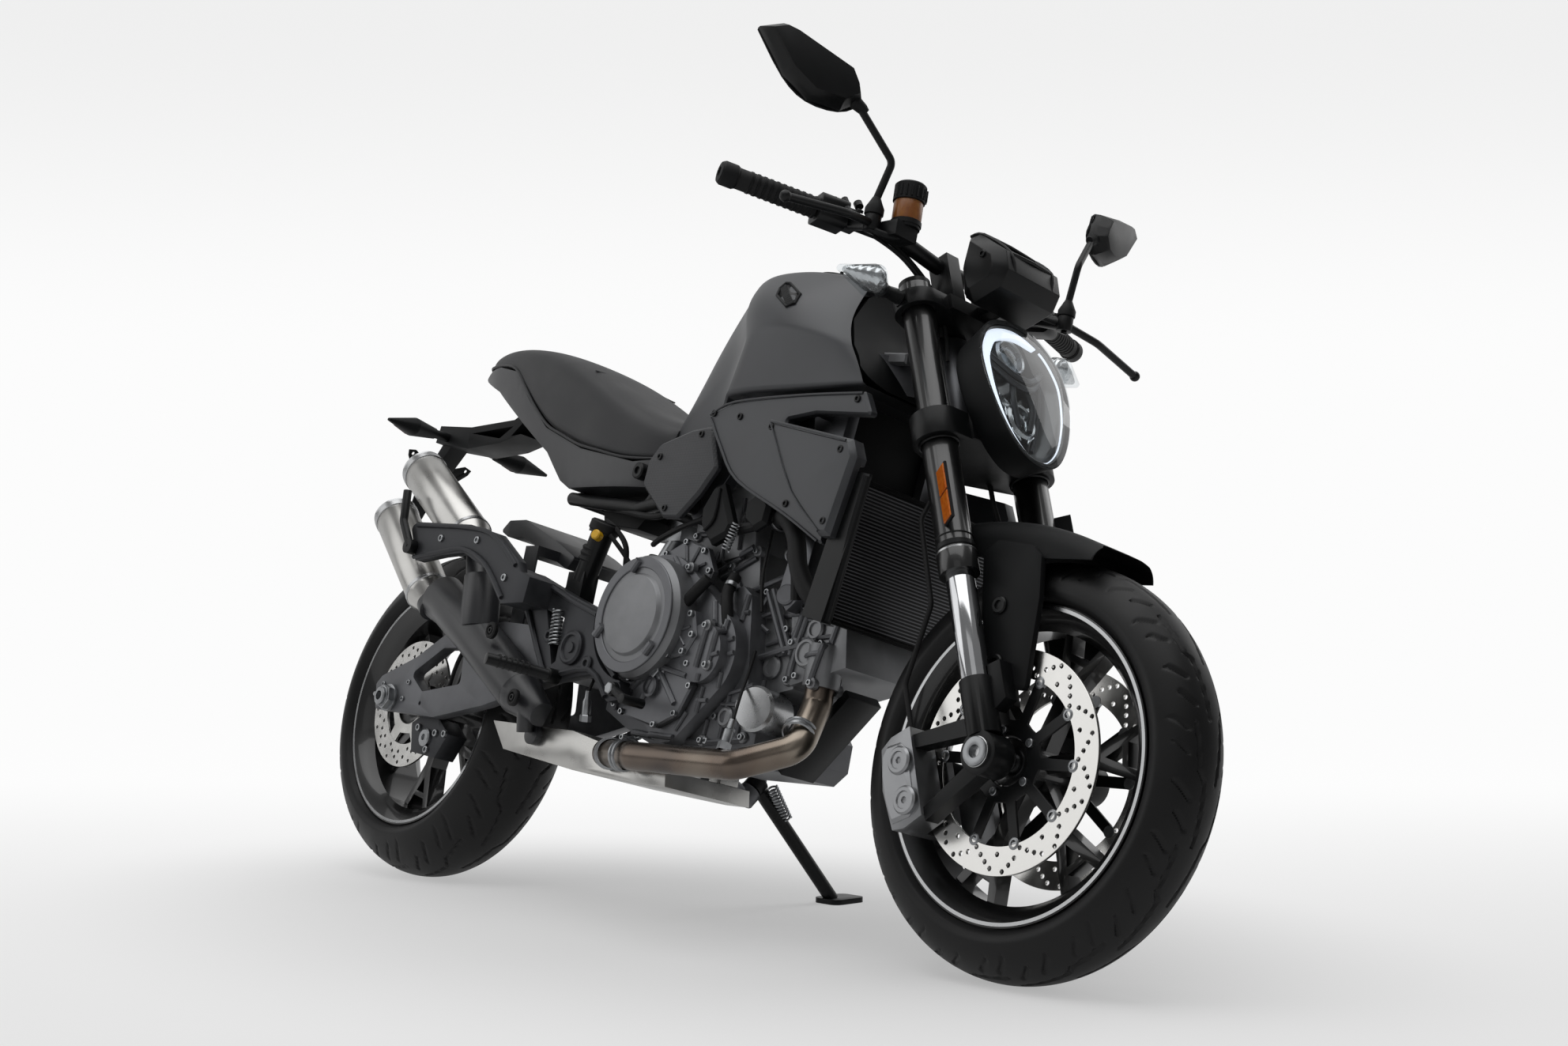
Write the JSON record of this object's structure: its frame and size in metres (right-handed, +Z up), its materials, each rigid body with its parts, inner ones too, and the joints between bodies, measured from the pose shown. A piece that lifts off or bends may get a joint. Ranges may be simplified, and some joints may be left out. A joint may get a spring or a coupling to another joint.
{
  "type": "standard motorcycle",
  "caption": "Unfaired roadster motorcycle with a vee engine, side-stacked silencers and a long one-piece saddle, parked leaning on its side stand.",
  "frame": {"origin": "on the ground under the middle of the parked machine's outline", "axes": "+X towards the front wheel, +Y to the rider's left, +Z up"},
  "size_m": [2.1189, 0.9612, 1.4014],
  "materials": {
    "tank_paint": "satin",
    "black_plastic": "matte",
    "seat_cover": "matte",
    "black_metal": "satin",
    "cast_grey": "cast",
    "light_alloy": "satin",
    "steel": "brushed",
    "header_steel": "heat tinted",
    "fork_chrome": "polished",
    "tyre_rubber": "matte",
    "rubber": "matte",
    "rim_black": "gloss",
    "disc_steel": "ground",
    "lens_clear": "clear",
    "lamp_red": "gloss"
  },
  "bodies": {
    "chassis": {"frame": "light_alloy", "rear_subframe": "black_metal", "crankcase": "cast_grey", "clutch_cover": "cast_grey", "cylinders": "cast_grey", "airbox": "black_plastic", "radiator": "black_metal", "regulator": "black_metal", "exhaust_header": "header_steel", "exhaust_box": "steel", "exhaust_shield": "black_plastic", "silencers": "steel", "fuel_tank": "tank_paint", "seat": "seat_cover", "tail_unit": "tank_paint", "tail_lamp": "lamp_red", "battery_tray": "black_plastic", "side_covers": "tank_paint", "radiator_shrouds": "tank_paint", "footrest_plates": "cast_grey", "footrests": "black_metal", "pedals": "black_metal", "rear_master_cylinder": "black_metal", "swingarm": "cast_grey", "rear_axle": "steel", "rear_caliper": "light_alloy", "shock_absorber": "steel", "chain": "steel", "rear_hugger": "black_plastic", "plate_carrier": "black_plastic", "rear_indicators": "black_plastic"},
    "steering": {"yokes": "black_metal", "fork_tubes": "black_metal", "fork_sliders": "fork_chrome", "fork_feet": "black_metal", "front_axle": "steel", "front_calipers": "light_alloy", "handlebar": "black_metal", "grips": "rubber", "hand_controls": "black_metal", "mirrors": "black_plastic", "headlamp_shell": "black_plastic", "headlamp_lens": "lens_clear", "instrument_pod": "black_plastic", "front_indicators": "lens_clear", "front_mudguard": "black_plastic", "brake_hoses": "rubber"},
    "front_wheel": {"front_rim": "rim_black", "front_tyre": "tyre_rubber", "front_discs": "disc_steel"},
    "rear_wheel": {"rear_rim": "rim_black", "rear_tyre": "tyre_rubber", "rear_disc": "disc_steel", "rear_sprocket": "steel"},
    "side_stand": {"side_stand": "black_metal"}
  },
  "joints": [
    {"name": "steering", "type": "hinge", "parent": "chassis", "child": "steering", "pos_m": [0.48219, -0.07019, 0.83205], "axis": [-0.3955, 0.2222, 0.8912], "range_deg": [-30, 30]},
    {"name": "front_wheel_spin", "type": "hinge", "parent": "steering", "child": "front_wheel", "pos_m": [0.7595, -0.20461, 0.29293], "axis": [0, 0.9703, -0.2419], "continuous": true},
    {"name": "rear_wheel_spin", "type": "hinge", "parent": "chassis", "child": "rear_wheel", "pos_m": [-0.7325, -0.20074, 0.30846], "axis": [0, 0.9703, -0.2419], "continuous": true},
    {"name": "side_stand_pivot", "type": "hinge", "parent": "chassis", "child": "side_stand", "pos_m": [0.0055, -0.0772, 0.20458], "axis": [0.02, 0.7756, 0.631], "range_deg": [0, 88]}
  ]
}
